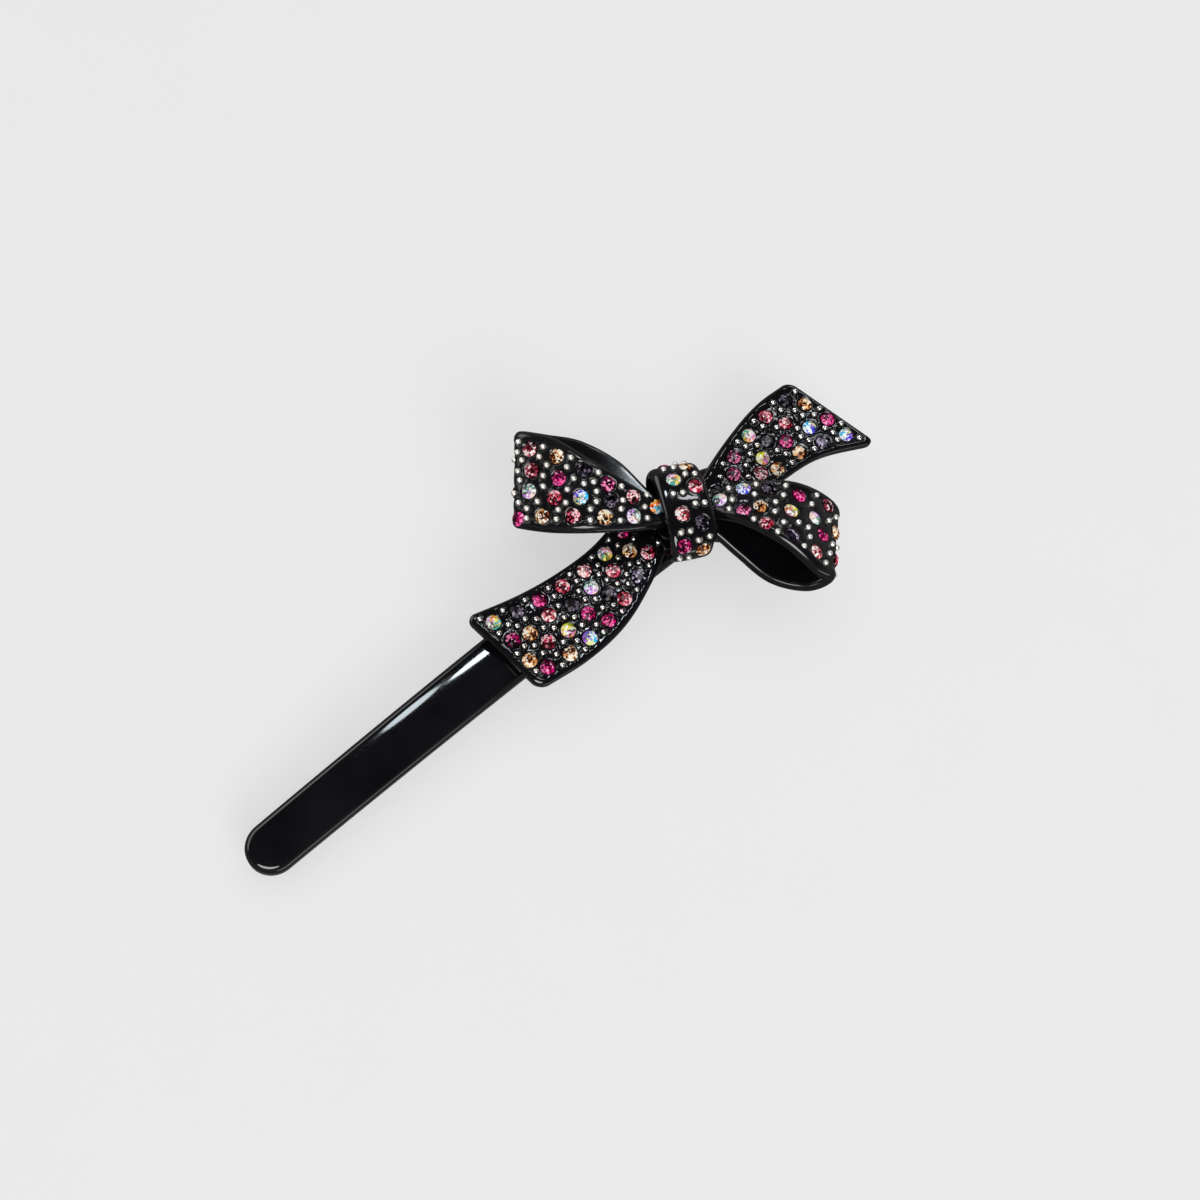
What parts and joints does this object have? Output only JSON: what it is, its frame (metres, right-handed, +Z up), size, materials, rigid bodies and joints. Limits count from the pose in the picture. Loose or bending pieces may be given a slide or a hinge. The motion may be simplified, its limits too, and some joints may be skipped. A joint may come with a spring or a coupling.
{
  "type": "hair barrette",
  "caption": "Slim arched hair barrette with a ribbon bow of two loops, two tails and a knot band, on a one-piece sprung clasp.",
  "frame": {"origin": "centre of the clasp's flat underside, under the middle of the bar", "axes": "+X along the bar towards the bow, +Y across the bar, +Z up from the clasp through the bar to the bow"},
  "size_m": [0.1096, 0.0456, 0.0203],
  "materials": {
    "acetate": "polished black cellulose acetate",
    "spring_steel": "satin spring steel",
    "stones": "round faceted foiled glass, in rose, peach, fuchsia, violet and iridescent clear",
    "balls": "small polished steel balls"
  },
  "bodies": {
    "root": {"bar": "acetate", "tail_left": "acetate", "tail_right": "acetate", "loop_left": "acetate", "loop_right": "acetate", "knot": "acetate", "clasp": "spring_steel"}
  },
  "joints": []
}
